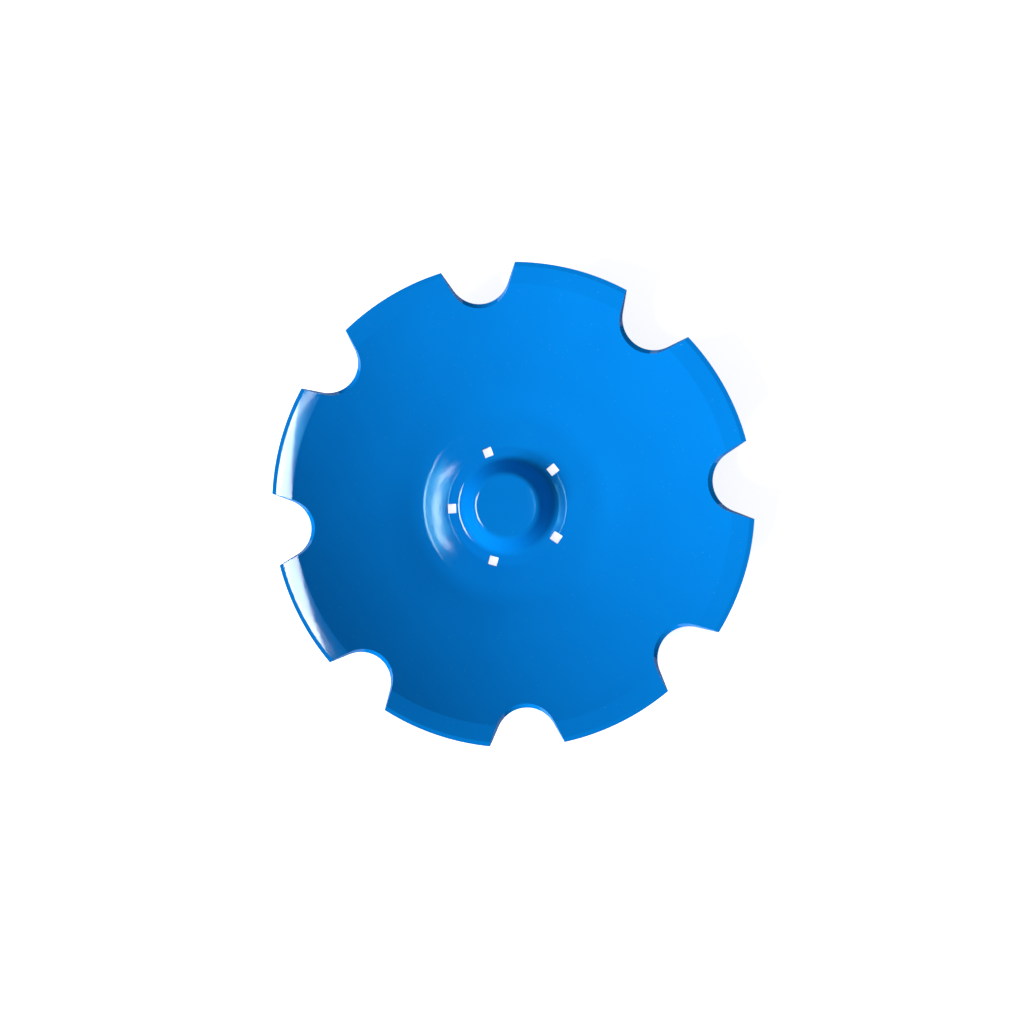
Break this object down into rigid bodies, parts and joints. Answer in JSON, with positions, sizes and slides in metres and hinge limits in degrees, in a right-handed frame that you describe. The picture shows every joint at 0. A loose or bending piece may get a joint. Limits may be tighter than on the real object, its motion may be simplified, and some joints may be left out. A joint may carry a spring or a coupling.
{
  "type": "harrow disc blade",
  "caption": "Dished and notched soil-cutting disc blade with a raised centre boss, square bolt holes and a ground rim.",
  "frame": {"origin": "centre of the hub seat's back face, on the disc's axis", "axes": "+Z along the disc's axis towards the hollow side; +X through the middle of a notch"},
  "size_m": [0.6126, 0.6126, 0.0704],
  "materials": {
    "gloss_paint": "high gloss blue stoving enamel on pressed boron steel"
  },
  "bodies": {
    "root": {"disc_blade": "gloss_paint"}
  },
  "joints": []
}
